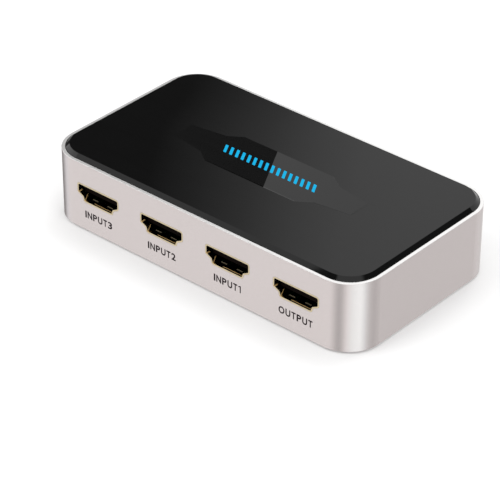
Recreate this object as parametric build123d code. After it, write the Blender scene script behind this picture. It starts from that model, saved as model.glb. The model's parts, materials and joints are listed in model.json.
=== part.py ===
"""A small switch box for picture and sound leads: three input sockets and one output socket.

Millimetres. X runs along the long side, Y from the socket face to the front face, and Z up from
the floor. The origin is on the floor, under the middle of the box.
"""
import os
from build123d import *

# Case
case_length = 104.5
case_width = 58.0
case_corner_radius = 9.8
frame_height = 20.0
wall_thickness = 2.0
rim_width = 1.06
frame_edge_radius = 0.15
panel_recess = 1.3
deck_thickness = 1.5
foot_stand_off = 0.6

# Glossy top panel, its adhesive and the low two-sided emblem on it
panel_rise = 0.985
panel_bevel = 1.0
panel_side_clearance = 0.05
adhesive_thickness = 0.15
adhesive_margin = 1.5
emblem_body_half_length = 15.2
emblem_half_width = 7.8
emblem_neck_x = 19.1
emblem_neck_half_width = 5.1
emblem_tip_x = 30.0
emblem_tip_half_width = 3.5
emblem_split_shift = 4.3
emblem_split_x = 0.5
emblem_rise = 0.12
emblem_fade_length = 30.0
emblem_root = 0.3

# Base plate, feet and the screws that close the case
plate_thickness = 2.2
plate_side_clearance = 0.1
plate_reveal = 0.2
plate_edge_radius = 0.3
foot_radius = 3.5
foot_edge_radius = 0.4
foot_pocket_depth = 0.9
foot_side_clearance = 0.1
boss_edge_distance = 7.2
boss_radius = 2.5
clamp_thickness = 1.4
plate_boss_margin = 1.2
case_screw_radius = 1.15
case_screw_length = 8.0
case_screw_head_radius = 2.0
case_screw_head_height = 1.2
screw_head_clearance = 0.15
screw_hole_clearance = 0.2
thread_clearance = 0.03
screw_tip_room = 0.8
drive_slot_width = 0.45
drive_slot_depth = 0.5
drive_slot_share = 0.65

# Circuit board
board_thickness = 1.6
board_gap = 0.8
boss_board_gap = 0.5
post_radius = 2.4
post_edge_distance = 5.9
post_row_half_spacing = 11.0
board_screw_radius = 0.95
board_screw_length = 4.8
board_screw_head_radius = 1.9
board_screw_head_height = 1.1

# Sockets
socket_count = 4
socket_end_distance = 18.575
socket_centre_height = 11.73
opening_width = 14.0
opening_height = 4.55
opening_side_height = 2.325
opening_step_width = 10.5
opening_step_drop = 0.9
opening_floor_width = 9.6
opening_corner_radius = 0.45
shell_thickness = 0.4
shell_depth = 11.6
shell_wall_clearance = 0.04
shell_leg_width = 1.3
shell_leg_first = 4.6
shell_leg_second = 9.6
leg_tail = 0.8
leg_hole_clearance = 0.15
finger_width = 1.9
finger_length = 4.6
finger_start = 1.7
finger_slot = 0.35
finger_bump_radius = 0.3
top_finger_x = 3.5
floor_finger_x = 2.6
insulator_clearance = 0.03
insulator_block_depth = 3.0
tongue_width = 11.7
tongue_thickness = 1.5
tongue_lift = 0.45
tongue_setback = 1.3
tongue_tip_radius = 0.3
contact_width = 0.3
contact_thickness = 0.16
contact_proud = 0.04
contact_pitch = 1.0
contact_setback = 0.5
contact_foot = 0.9
top_contact_count = 10
floor_contact_count = 9

# Front face: remote-control window, indicator lamps and the select button
control_rise = 3.2
lamp_count = 4
lamp_pitch = 8.0
lamp_radius = 1.5
lamp_body_length = 4.2
lamp_flange_radius = 1.85
lamp_flange_length = 1.0
lamp_recess = 0.3
lamp_hole_clearance = 0.1
lead_width = 0.5
lead_spacing = 2.54
lead_back_length = 1.4
lead_tail = 1.0
lead_hole_clearance = 0.15
window_end_distance = 18.25
window_length = 10.0
window_height = 4.4
window_recess = 0.15
window_flange_margin = 0.6
window_flange_thickness = 0.8
window_side_clearance = 0.05
receiver_width = 6.0
receiver_depth = 3.0
receiver_height = 6.4
receiver_lens_radius = 1.6
receiver_stand = 0.8
receiver_window_gap = 0.3
button_end_distance = 22.25
button_length = 10.0
button_height = 4.2
button_proud = 0.5
button_edge_radius = 0.3
button_guide_clearance = 0.08
button_flange_margin = 0.6
button_flange_thickness = 0.9
button_travel = 0.3

# Tactile switch behind the button
tact_width = 6.2
tact_depth = 3.4
tact_cover_thickness = 0.2
tact_above_plunger = 2.2
plunger_radius = 1.6
plunger_reach = 0.9
plunger_clearance = 0.05
plunger_flange_radius = 1.95
plunger_flange_thickness = 0.5
plunger_nub_radius = 0.8
tact_bore_clearance = 0.15
tact_bore_depth = 2.2
dome_thickness = 0.1
dome_gap = 0.05

# Power jack in the left end
jack_rise = 3.4
jack_y = 0.0
jack_width = 6.6
jack_above_bore = 3.1
jack_length = 11.0
jack_collar_radius = 3.0
jack_wall_clearance = 0.1
jack_bore_radius = 1.8
jack_bore_depth = 9.5
jack_pin_radius = 0.65
jack_pin_setback = 0.8
jack_pin_tip_radius = 0.4
jack_spring_width = 1.6
jack_spring_thickness = 0.25
jack_spring_length = 6.0
jack_tail_width = 1.0

# Parts soldered on the board
switch_chip_size = 14.0
switch_chip_height = 1.4
switch_chip_y = -3.0
switch_chip_lead_count = 16
switch_chip_lead_pitch = 0.8
chip_lead_width = 0.35
chip_lead_reach = 1.0
chip_lead_thickness = 0.2
chip_lead_height = 0.6
control_chip_end_distance = 30.25
control_chip_y = 9.0
control_chip_length = 8.6
control_chip_width = 5.3
control_chip_height = 1.5
control_chip_lead_count = 7
control_chip_lead_pitch = 1.15
regulator_end_distance = 16.25
regulator_socket_gap = 7.9
regulator_length = 6.5
regulator_width = 3.5
regulator_height = 1.6
regulator_tab_width = 3.0
regulator_lead_pitch = 2.3
crystal_end_distance = 32.25
crystal_y = 9.0
crystal_length = 11.0
crystal_width = 4.6
crystal_height = 3.5
can_radius = 2.5
can_height = 5.2
can_edge_radius = 0.4
can_end_distances = [17.0, 24.0]
can_socket_gap = 8.9
guard_length = 2.5
guard_width = 1.0
guard_height = 0.55
guard_spacing = 5.0
guard_gap = 2.2
capacitor_length = 1.6
capacitor_width = 0.8
capacitor_height = 0.8
capacitor_gap = 3.0
capacitor_pitch = 3.4
capacitor_count = 5
resistor_length = 1.0
resistor_width = 0.5
resistor_height = 0.35
resistor_pitch = 1.8
resistor_count = 9
resistor_lamp_gap = 3.65

# How far a cutting body reaches past the face that it cuts
cut_overshoot = 1.0

# Levels and places worked out from the sizes above
frame_bottom = foot_stand_off
frame_top = frame_bottom + frame_height
recess_floor = frame_top - panel_recess
deck_bottom = recess_floor - deck_thickness
panel_bottom = recess_floor + adhesive_thickness
panel_top = frame_top + panel_rise
plate_bottom = frame_bottom + plate_reveal
plate_top = plate_bottom + plate_thickness
pocket_roof = plate_bottom + foot_pocket_depth
head_seat = pocket_roof + case_screw_head_height + screw_head_clearance
plate_boss_top = head_seat + clamp_thickness
plate_boss_radius = case_screw_head_radius + plate_boss_margin
board_top = socket_centre_height - opening_height / 2 - shell_thickness
board_bottom = board_top - board_thickness
control_height = board_top + control_rise
jack_height = board_top + jack_rise

half_length = case_length / 2
half_width = case_width / 2
inner_half_length = half_length - wall_thickness
inner_half_width = half_width - wall_thickness
inner_corner_radius = case_corner_radius - wall_thickness
board_half_length = inner_half_length - board_gap
board_half_width = inner_half_width - board_gap
boss_x = half_length - boss_edge_distance
boss_y = half_width - boss_edge_distance
boss_places = [(x, y) for x in (-boss_x, boss_x) for y in (-boss_y, boss_y)]
post_x = board_half_length - post_edge_distance
post_places = [(x, y) for x in (-post_x, post_x) for y in (-post_row_half_spacing, post_row_half_spacing)]
socket_pitch = (case_length - 2 * socket_end_distance) / (socket_count - 1)
socket_places = [(index - (socket_count - 1) / 2) * socket_pitch for index in range(socket_count)]
lamp_places = [(index - (lamp_count - 1) / 2) * lamp_pitch for index in range(lamp_count)]
socket_mouth = -half_width
socket_back = socket_mouth + shell_depth
button_back = inner_half_width - button_flange_thickness
tact_front = button_back - plunger_reach
tact_base_front = tact_front - tact_cover_thickness
tact_back = tact_base_front - tact_depth
tact_top = control_height + tact_above_plunger
lamp_tip = half_width - lamp_recess
lamp_back = inner_half_width - lamp_body_length
receiver_front = inner_half_width - receiver_window_gap - receiver_lens_radius
window_x = half_length - window_end_distance
button_x = -half_length + button_end_distance
control_chip_x = -half_length + control_chip_end_distance
regulator_x = -half_length + regulator_end_distance
regulator_y = socket_back + regulator_socket_gap
crystal_x = half_length - crystal_end_distance
can_places = [(half_length - distance, socket_back + can_socket_gap) for distance in can_end_distances]


def slab(length, width, radius, bottom, top):
    """A flat body with rounded corners, between two heights."""
    outline = Pos(0, 0, bottom) * RectangleRounded(length, width, radius)
    return extrude(outline, amount=top - bottom)


def block(x_range, y_range, z_range):
    """A box between two values on each axis."""
    size = [high - low for low, high in (x_range, y_range, z_range)]
    middle = [(high + low) / 2 for low, high in (x_range, y_range, z_range)]
    return Pos(*middle) * Box(*size)


def around(centre, width):
    """The range of a given width about a centre."""
    return (centre - width / 2, centre + width / 2)


def post(place, radius, bottom, top):
    """An upright round body."""
    return Pos(place[0], place[1], (bottom + top) / 2) * Cylinder(radius, top - bottom)


def wall_plane(y):
    """The upright plane at y that looks out of the socket face."""
    return Plane(origin=(0, y, 0), x_dir=(1, 0, 0), z_dir=(0, -1, 0))


def round_bar(x, z, radius, y_range):
    """A round body that runs along Y."""
    return extrude(wall_plane(y_range[1]) * Pos(x, z) * Circle(radius), amount=y_range[1] - y_range[0])


def pill_bar(x, z, length, height, y_range):
    """A body with a rounded oblong section that runs along Y."""
    outline = SlotOverall(length, height)
    return extrude(wall_plane(y_range[1]) * Pos(x, z) * outline, amount=y_range[1] - y_range[0])


def socket_outline(growth):
    """The stepped outline of a socket mouth about its centre, grown outwards by an amount."""
    top = opening_height / 2
    side_foot = top - opening_side_height
    step_foot = side_foot - opening_step_drop
    half = [
        (opening_width / 2, top),
        (opening_width / 2, side_foot),
        (opening_step_width / 2, step_foot),
        (opening_floor_width / 2, -top),
    ]
    points = half + [(-x, y) for x, y in reversed(half)]
    outline = make_face(Polyline(*points, close=True))
    outline = fillet(outline.vertices(), radius=opening_corner_radius)
    if growth:
        outline = offset(outline, amount=growth)
    return outline


def socket_bar(growth, y_range):
    """A body with the socket's outline, about x = 0 at the sockets' height."""
    outline = wall_plane(y_range[1]) * Pos(0, socket_centre_height) * socket_outline(growth)
    return extrude(outline, amount=y_range[1] - y_range[0])


def group(solids):
    """Separate solids that share one node."""
    return Compound(children=list(solids))


def make_side_frame():
    """The silver frame: four walls, the deck under the panel and the screw bosses."""
    frame = slab(case_length, case_width, case_corner_radius, frame_bottom, frame_top)
    rims = frame.edges().group_by(Axis.Z)
    frame = fillet(rims[0] + rims[-1], radius=frame_edge_radius)
    recess_size = (case_length - 2 * rim_width, case_width - 2 * rim_width)
    recess_radius = case_corner_radius - rim_width
    frame -= slab(*recess_size, recess_radius, recess_floor, frame_top + cut_overshoot)
    inner_size = (2 * inner_half_length, 2 * inner_half_width)
    frame -= slab(*inner_size, inner_corner_radius, frame_bottom - cut_overshoot, deck_bottom)
    hole_top = head_seat + case_screw_length + screw_tip_room
    for place in boss_places:
        frame += post(place, boss_radius, plate_boss_top, recess_floor)
        frame -= post(place, case_screw_radius + thread_clearance, plate_boss_top, hole_top)
    for x in socket_places:
        frame -= Pos(x, 0, 0) * socket_bar(shell_thickness + shell_wall_clearance, rear_wall_range())
    for x in lamp_places:
        frame -= round_bar(x, control_height, lamp_radius + lamp_hole_clearance, front_wall_range())
    frame -= window_opening()
    frame -= button_opening()
    frame -= jack_opening()
    return frame


def rear_wall_range():
    """From outside the socket face to inside its wall."""
    return (-half_width - cut_overshoot, -inner_half_width + cut_overshoot)


def front_wall_range():
    """From inside the front wall to outside it."""
    return (inner_half_width - cut_overshoot, half_width + cut_overshoot)


def window_opening():
    """The opening for the remote-control window."""
    clearance = 2 * window_side_clearance
    size = (window_length + clearance, window_height + clearance)
    return pill_bar(window_x, control_height, *size, front_wall_range())


def button_opening():
    """The opening that guides the select button."""
    clearance = 2 * button_guide_clearance
    size = (button_length + clearance, button_height + clearance)
    return pill_bar(button_x, control_height, *size, front_wall_range())


def jack_collar(radius, x_range):
    """A round body along X on the power jack's axis."""
    plane = Plane(origin=(x_range[0], jack_y, jack_height), x_dir=(0, 1, 0), z_dir=(1, 0, 0))
    return extrude(plane * Circle(radius), amount=x_range[1] - x_range[0])


def jack_opening():
    """The hole for the power jack's collar in the left wall."""
    reach = (-half_length - cut_overshoot, -inner_half_length + cut_overshoot)
    return jack_collar(jack_collar_radius + jack_wall_clearance, reach)


def make_top_panel():
    """The glossy panel, with a bevelled edge and the low emblem on its top."""
    inset = rim_width + panel_side_clearance
    radius = case_corner_radius - inset
    panel = slab(case_length - 2 * inset, case_width - 2 * inset, radius, panel_bottom, panel_top)
    panel = chamfer(panel.edges().group_by(Axis.Z)[-1], length=panel_rise, length2=panel_bevel)
    return panel + make_emblem()


def make_emblem():
    """Two flat slopes that meet at a slanted ridge, in a wide outline with a long narrow end each way."""
    upper_left = [
        (-emblem_body_half_length, emblem_half_width),
        (-emblem_neck_x, emblem_neck_half_width),
        (-emblem_tip_x, emblem_tip_half_width),
    ]
    left = upper_left + [(x, -y) for x, y in reversed(upper_left)]
    points = left + [(-x, -y) for x, y in left]
    root = panel_top - emblem_root
    outline = Pos(0, 0, root) * make_face(Polyline(*points, close=True))
    prism = extrude(outline, amount=emblem_root + emblem_rise)
    ridge = Vector(emblem_split_shift, -emblem_half_width, 0)
    slopes = [
        (-emblem_fade_length, -emblem_root),
        (-emblem_fade_length, 0),
        (0, emblem_rise),
        (emblem_fade_length, 0),
        (emblem_fade_length, -emblem_root),
    ]
    reach = emblem_tip_x + emblem_half_width
    start = Vector(emblem_split_x, 0, panel_top) - ridge.normalized() * reach
    across = ridge.normalized().cross(Vector(0, 0, 1))
    plane = Plane(origin=start, x_dir=-across, z_dir=ridge)
    roof = extrude(plane * make_face(Polyline(*slopes, close=True)), amount=2 * reach)
    return prism & roof


def make_adhesive():
    """The adhesive sheet that holds the panel on the deck."""
    inset = rim_width + panel_side_clearance + adhesive_margin
    radius = case_corner_radius - inset
    return slab(case_length - 2 * inset, case_width - 2 * inset, radius, recess_floor, panel_bottom)


def make_base_plate():
    """The plate that closes the underside, with foot pockets, screw seats and board posts."""
    inset = wall_thickness + plate_side_clearance
    radius = case_corner_radius - inset
    plate = slab(case_length - 2 * inset, case_width - 2 * inset, radius, plate_bottom, plate_top)
    plate = fillet(plate.edges().group_by(Axis.Z)[0], radius=plate_edge_radius)
    for place in boss_places:
        plate += post(place, plate_boss_radius, plate_bottom + foot_pocket_depth, plate_boss_top)
    for place in post_places:
        plate += post(place, post_radius, plate_bottom + foot_pocket_depth, board_bottom)
    below, above = plate_bottom - cut_overshoot, plate_boss_top + cut_overshoot
    for place in boss_places:
        plate -= post(place, foot_radius + foot_side_clearance, below, pocket_roof)
        plate -= post(place, case_screw_head_radius + screw_head_clearance, below, head_seat)
        plate -= post(place, case_screw_radius + screw_hole_clearance, below, above)
    hole_bottom = board_top - board_screw_length - screw_tip_room / 2
    hole_top = board_bottom + cut_overshoot
    for place in post_places:
        plate -= post(place, board_screw_radius + thread_clearance, hole_bottom, hole_top)
    return plate


def make_foot(place):
    """One rubber foot, seated in its pocket over a case screw."""
    foot = post(place, foot_radius, 0, pocket_roof)
    return fillet(foot.edges().group_by(Axis.Z)[0], radius=foot_edge_radius)


def drive_cross(place, radius, z_range):
    """The crossed slots of a screw head."""
    slots = []
    for size in ((2 * radius, drive_slot_width), (drive_slot_width, 2 * radius)):
        slots.append(block(around(place[0], size[0]), around(place[1], size[1]), z_range))
    return slots[0] + slots[1]


def make_case_screw(place):
    """A screw that goes up through the plate into a boss of the frame."""
    seat = head_seat
    screw = post(place, case_screw_head_radius, seat - case_screw_head_height, seat)
    screw += post(place, case_screw_radius, seat, seat + case_screw_length)
    face = seat - case_screw_head_height
    reach = drive_slot_share * case_screw_head_radius
    return screw - drive_cross(place, reach, (face - cut_overshoot, face + drive_slot_depth))


def make_board_screw(place):
    """A screw that holds the board on a post of the plate."""
    screw = post(place, board_screw_head_radius, board_top, board_top + board_screw_head_height)
    screw += post(place, board_screw_radius, board_top - board_screw_length, board_top)
    face = board_top + board_screw_head_height
    reach = drive_slot_share * board_screw_head_radius
    return screw - drive_cross(place, reach, (face - drive_slot_depth, face + cut_overshoot))


def make_circuit_board():
    """The board, cut away round the corner bosses and drilled for screws, legs and leads."""
    radius = inner_corner_radius
    board = slab(2 * board_half_length, 2 * board_half_width, radius, board_bottom, board_top)
    notch_x = boss_x - boss_radius - boss_board_gap
    notch_y = boss_y - boss_radius - boss_board_gap
    heights = (board_bottom - cut_overshoot, board_top + cut_overshoot)
    for side in (-1, 1):
        x_range = sorted((side * notch_x, side * half_length))
        for end in (-1, 1):
            y_range = sorted((end * notch_y, end * half_width))
            board -= block(x_range, y_range, heights)
    for place in post_places:
        board -= post(place, board_screw_radius + screw_hole_clearance, *heights)
    holes = []
    for x in socket_places:
        for leg in shell_leg_places():
            holes.append(Pos(x, 0, 0) * leg_body(leg, leg_hole_clearance, heights))
    for x, y in lead_places():
        size = lead_width + 2 * lead_hole_clearance
        holes.append(block(around(x, size), around(y, size), heights))
    for hole in holes:
        board -= hole
    return board


def lead_places():
    """Where the leads of the lamps, the receiver, the tactile switch and the jack pass the board."""
    places = [(x + side * lead_spacing / 2, lamp_lead_y()) for x in lamp_places for side in (-1, 1)]
    places += [(window_x + step * lead_spacing, receiver_lead_y()) for step in (-1, 0, 1)]
    places += [(button_x + side * lead_spacing, tact_lead_y()) for side in (-1, 1)]
    places += [(jack_pin_tail_x(), jack_y), (jack_spring_tail_x(), jack_y)]
    return places


def lamp_lead_y():
    """The line on which the lamps' leads go down."""
    return lamp_back - lead_back_length - lead_width / 2


def receiver_lead_y():
    """The line of the receiver's leads."""
    return receiver_front - receiver_depth / 2


def tact_lead_y():
    """The line of the tactile switch's leads."""
    return (tact_base_front + tact_back) / 2


def jack_pin_tail_x():
    """Where the centre pin's tail goes down."""
    return -inner_half_length + jack_length - jack_tail_width


def jack_spring_tail_x():
    """Where the spring contact's tail goes down."""
    return -inner_half_length + jack_length / 2


def shell_leg_places():
    """The side and the depth of each leg of a socket's shell."""
    depths = (socket_mouth + shell_leg_first, socket_mouth + shell_leg_second)
    return [(side, depth) for side in (-1, 1) for depth in depths]


def leg_body(place, clearance, z_range):
    """An upright strip in the line of a shell's side wall."""
    side, depth = place
    middle = side * (opening_width + shell_thickness) / 2
    thickness = shell_thickness + 2 * clearance
    return block(around(middle, thickness), around(depth, shell_leg_width + 2 * clearance), z_range)


def make_shell():
    """The gold-plated shell of a socket, about x = 0, with its spring fingers and board legs."""
    depth_range = (socket_mouth, socket_back)
    bore_range = (socket_mouth - cut_overshoot, socket_back + cut_overshoot)
    shell = socket_bar(shell_thickness, depth_range) - socket_bar(0, bore_range)
    roof = socket_centre_height + opening_height / 2
    floor = socket_centre_height - opening_height / 2
    for x in (-top_finger_x, top_finger_x):
        shell = cut_finger(shell, x, (roof, roof + shell_thickness), roof)
    for x in (-floor_finger_x, floor_finger_x):
        shell = cut_finger(shell, x, (floor - shell_thickness, floor), floor)
    leg_range = (board_bottom - leg_tail, socket_centre_height + opening_height / 4)
    for place in shell_leg_places():
        shell += leg_body(place, 0, leg_range)
    return shell


def cut_finger(shell, x, wall_range, face):
    """Free a spring finger in a wall of the shell and give its tip a bump that grips the plug."""
    start = socket_mouth + finger_start
    slot_range = (start - finger_slot, start + finger_length)
    shell -= block(around(x, finger_width + 2 * finger_slot), slot_range, wall_range)
    shell += block(around(x, finger_width), (start, start + finger_length), wall_range)
    bump_plane = Plane(origin=(x - finger_width / 2, 0, 0), x_dir=(0, 1, 0), z_dir=(1, 0, 0))
    middle = start + finger_bump_radius
    bump = extrude(bump_plane * Pos(middle, face) * Circle(finger_bump_radius), amount=finger_width)
    inside = (socket_centre_height - opening_height / 2, socket_centre_height + opening_height / 2)
    span = (min(inside[0], wall_range[0]), max(inside[1], wall_range[1]))
    return shell + (bump & block(around(x, finger_width), slot_range, span))


def tongue_range():
    """The tongue's heights."""
    return around(socket_centre_height + tongue_lift, tongue_thickness)


def make_contacts():
    """The contact strips of a socket, about x = 0: one row on the tongue and one row under it."""
    low, high = tongue_range()
    front = socket_mouth + tongue_setback + contact_setback
    rows = [
        (top_contact_count, (high + contact_proud - contact_thickness, high + contact_proud)),
        (floor_contact_count, (low - contact_proud, low - contact_proud + contact_thickness)),
    ]
    strips = []
    for count, heights in rows:
        for index in range(count):
            x_range = around((index - (count - 1) / 2) * contact_pitch, contact_width)
            back = socket_back + contact_thickness
            strip = block(x_range, (front, back), heights)
            strip += block(x_range, (socket_back, back), (board_top, heights[1]))
            sole = (socket_back, back + contact_foot)
            strip += block(x_range, sole, (board_top, board_top + contact_thickness))
            strips.append(strip)
    return strips


def make_insulator(contacts):
    """The black moulding of a socket: a block at the back and the tongue that enters the plug."""
    block_front = socket_back - insulator_block_depth
    moulding = socket_bar(-insulator_clearance, (block_front, socket_back))
    tip = socket_mouth + tongue_setback
    tongue = block(around(0, tongue_width), (tip, block_front + cut_overshoot), tongue_range())
    tongue = fillet(tongue.edges().filter_by(Axis.X).group_by(Axis.Y)[0], radius=tongue_tip_radius)
    moulding += tongue
    for strip in contacts:
        moulding -= strip
    return moulding


def make_lamp(x):
    """A round indicator lamp that looks out of the front wall."""
    dome_start = lamp_tip - lamp_radius
    lamp = round_bar(x, control_height, lamp_radius, (lamp_back, dome_start))
    lamp += Pos(x, dome_start, control_height) * Sphere(lamp_radius)
    flange_range = (lamp_back, lamp_back + lamp_flange_length)
    return lamp + round_bar(x, control_height, lamp_flange_radius, flange_range)


def make_lamp_leads():
    """The bent leads of every lamp."""
    leads = []
    drop = (board_bottom - lead_tail, control_height + lead_width / 2)
    for x in lamp_places:
        for side in (-1, 1):
            x_range = around(x + side * lead_spacing / 2, lead_width)
            level = around(control_height, lead_width)
            lead = block(x_range, (lamp_lead_y() - lead_width / 2, lamp_back), level)
            leads.append(lead + block(x_range, around(lamp_lead_y(), lead_width), drop))
    return leads


def make_window():
    """The dark window in front of the remote-control receiver."""
    outer = half_width - window_recess
    window = pill_bar(window_x, control_height, window_length, window_height, (inner_half_width, outer))
    margin = 2 * window_flange_margin
    size = (window_length + margin, window_height + margin)
    flange_range = (inner_half_width - window_flange_thickness, inner_half_width)
    return window + pill_bar(window_x, control_height, *size, flange_range)


def make_receiver():
    """The remote-control receiver, with a round lens towards the window."""
    bottom = board_top + receiver_stand
    depth_range = (receiver_front - receiver_depth, receiver_front)
    body = block(around(window_x, receiver_width), depth_range, (bottom, bottom + receiver_height))
    lens_front = receiver_front + receiver_lens_radius - window_flange_thickness
    return body + round_bar(window_x, control_height, receiver_lens_radius, (receiver_front, lens_front))


def make_receiver_leads():
    """The receiver's three leads."""
    leads = []
    for step in (-1, 0, 1):
        x_range = around(window_x + step * lead_spacing, lead_width)
        z_range = (board_bottom - lead_tail, board_top + receiver_stand)
        leads.append(block(x_range, around(receiver_lead_y(), lead_width), z_range))
    return leads


def make_button():
    """The select button: an oblong cap with a flange that stops behind the front wall."""
    face = half_width + button_proud
    cap = pill_bar(button_x, control_height, button_length, button_height, (button_back, face))
    cap = fillet(cap.edges().group_by(Axis.Y)[-1], radius=button_edge_radius)
    margin = 2 * button_flange_margin
    size = (button_length + margin, button_height + margin)
    return cap + pill_bar(button_x, control_height, *size, (button_back, inner_half_width))


def make_tact_plunger():
    """The plunger that the button pushes."""
    flange_range = (tact_base_front - plunger_flange_thickness, tact_base_front)
    plunger = round_bar(button_x, control_height, plunger_radius, (flange_range[0], button_back))
    plunger += round_bar(button_x, control_height, plunger_flange_radius, flange_range)
    nub_end = tact_base_front - tact_bore_depth + dome_thickness + dome_gap + button_travel
    return plunger + round_bar(button_x, control_height, plunger_nub_radius, (nub_end, flange_range[1]))


def tact_bore(front):
    """The round space in the tactile switch."""
    radius = plunger_flange_radius + tact_bore_clearance
    return round_bar(button_x, control_height, radius, (tact_base_front - tact_bore_depth, front))


def make_tact_base():
    """The tactile switch's moulded base."""
    depth_range = (tact_back, tact_base_front)
    base = block(around(button_x, tact_width), depth_range, (board_top, tact_top))
    return base - tact_bore(tact_base_front + cut_overshoot)


def make_tact_cover():
    """The metal plate that keeps the plunger in the switch."""
    cover = block(around(button_x, tact_width), (tact_base_front, tact_front), (board_top, tact_top))
    hole_range = (tact_base_front - cut_overshoot, tact_front + cut_overshoot)
    return cover - round_bar(button_x, control_height, plunger_radius + plunger_clearance, hole_range)


def make_tact_dome():
    """The thin snap disc at the bottom of the switch, as it is when pressed flat."""
    floor = tact_base_front - tact_bore_depth
    return round_bar(button_x, control_height, plunger_flange_radius, (floor, floor + dome_thickness))


def make_tact_leads():
    """The tactile switch's two leads."""
    leads = []
    for side in (-1, 1):
        x_range = around(button_x + side * lead_spacing, lead_width)
        z_range = (board_bottom - lead_tail, board_top)
        leads.append(block(x_range, around(tact_lead_y(), lead_width), z_range))
    return leads


def make_jack_body(inner_pieces):
    """The power jack's moulding, with a collar that reaches out through the left wall."""
    start = -inner_half_length
    x_range = (start, start + jack_length)
    z_range = (board_top, jack_height + jack_above_bore)
    body = block(x_range, around(jack_y, jack_width), z_range)
    body += jack_collar(jack_collar_radius, (-half_length, start + cut_overshoot))
    bore_range = (-half_length - cut_overshoot, -half_length + jack_bore_depth)
    body -= jack_collar(jack_bore_radius, bore_range)
    for piece in inner_pieces:
        body -= piece
    return body


def make_jack_pin():
    """The jack's centre pin and its tail."""
    tail_x = jack_pin_tail_x()
    pin = jack_collar(jack_pin_radius, (-half_length + jack_pin_setback, tail_x))
    tip = pin.edges().group_by(Axis.X)[0]
    pin = fillet(tip, radius=jack_pin_tip_radius)
    tail_range = (board_bottom - lead_tail, jack_height + lead_width / 2)
    return pin + block(around(tail_x, lead_width), around(jack_y, lead_width), tail_range)


def make_jack_spring():
    """The flat contact below the bore and its tail."""
    tail_x = jack_spring_tail_x()
    floor = jack_height - jack_bore_radius
    strip_range = (tail_x - jack_spring_length / 2, tail_x + jack_spring_length / 2)
    strip = block(strip_range, around(jack_y, jack_spring_width), (floor - jack_spring_thickness, floor))
    tail_range = (board_bottom - lead_tail, floor)
    return strip + block(around(tail_x, lead_width), around(jack_y, lead_width), tail_range)


def make_chip(place, size, height):
    """The moulded body of a chip, held just above the board by its leads."""
    bottom = board_top + chip_lead_thickness / 2
    return block(around(place[0], size[0]), around(place[1], size[1]), (bottom, board_top + height))


def lead_row(centre, count, pitch, edge, outwards):
    """Bent leads in a row along X that leave a chip's edge in the direction of Y given."""
    leads = []
    inner, outer = edge, edge + outwards * chip_lead_reach
    knee = edge + outwards * chip_lead_reach / 2
    for index in range(count):
        x_range = around(centre + (index - (count - 1) / 2) * pitch, chip_lead_width)
        arm_height = (board_top + chip_lead_height - chip_lead_thickness, board_top + chip_lead_height)
        lead = block(x_range, sorted((inner, knee)), arm_height)
        shin = sorted((knee - outwards * chip_lead_thickness, knee))
        lead += block(x_range, shin, (board_top, board_top + chip_lead_height))
        sole = sorted((knee - outwards * chip_lead_thickness, outer))
        lead += block(x_range, sole, (board_top, board_top + chip_lead_thickness))
        leads.append(lead)
    return leads


def make_switch_chip_leads():
    """The leads on the four sides of the switch chip."""
    half = switch_chip_size / 2
    row = lead_row(0, switch_chip_lead_count, switch_chip_lead_pitch, half, 1)
    leads = []
    for turn in range(4):
        leads += [Pos(0, switch_chip_y, 0) * Rot(0, 0, 90 * turn) * lead for lead in row]
    return leads


def make_control_chip_leads():
    """The leads on the two long sides of the control chip."""
    leads = []
    for side in (-1, 1):
        edge = control_chip_y + side * control_chip_width / 2
        leads += lead_row(control_chip_x, control_chip_lead_count, control_chip_lead_pitch, edge, side)
    return leads


def make_regulator_leads():
    """The regulator's three leads and its wide tab."""
    front = regulator_y - regulator_width / 2
    rear = regulator_y + regulator_width / 2
    heights = (board_top, board_top + chip_lead_thickness)
    pieces = []
    for step in (-1, 0, 1):
        x_range = around(regulator_x + step * regulator_lead_pitch, 2 * chip_lead_width)
        pieces.append(block(x_range, (front - chip_lead_reach, front), heights))
    tab_range = around(regulator_x, regulator_tab_width)
    pieces.append(block(tab_range, (rear, rear + chip_lead_reach), heights))
    return pieces


def make_crystal():
    """The crystal's low metal can."""
    outline = Pos(crystal_x, crystal_y, board_top) * SlotOverall(crystal_length, crystal_width)
    can = extrude(outline, amount=crystal_height)
    return fillet(can.edges().group_by(Axis.Z)[-1], radius=can_edge_radius)


def make_can_capacitor(place):
    """An upright can capacitor."""
    can = post(place, can_radius, board_top, board_top + can_height)
    return fillet(can.edges().group_by(Axis.Z)[-1], radius=can_edge_radius)


def make_guards():
    """Two small surge guards behind each socket."""
    guards = []
    for x in socket_places:
        for side in (-1, 1):
            x_range = around(x + side * guard_spacing / 2, guard_length)
            y_range = around(socket_back + guard_gap + guard_width / 2, guard_width)
            guards.append(block(x_range, y_range, (board_top, board_top + guard_height)))
    return guards


def make_ceramic_capacitors():
    """A column of small capacitors on each side of the switch chip."""
    capacitors = []
    for side in (-1, 1):
        x = side * (switch_chip_size / 2 + chip_lead_reach + capacitor_gap)
        for index in range(capacitor_count):
            y = switch_chip_y + (index - (capacitor_count - 1) / 2) * capacitor_pitch
            heights = (board_top, board_top + capacitor_height)
            capacitors.append(block(around(x, capacitor_length), around(y, capacitor_width), heights))
    return capacitors


def make_resistors():
    """A row of small resistors behind the lamps."""
    resistors = []
    for index in range(resistor_count):
        x = (index - (resistor_count - 1) / 2) * resistor_pitch
        y = lamp_lead_y() - resistor_lamp_gap
        heights = (board_top, board_top + resistor_height)
        resistors.append(block(around(x, resistor_width), around(y, resistor_length), heights))
    return resistors


def socket_names():
    """The sockets' names from the lowest x to the highest: the last is the output."""
    inputs = [f"input_{number}" for number in range(socket_count - 1, 0, -1)]
    return inputs + ["output"]


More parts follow.
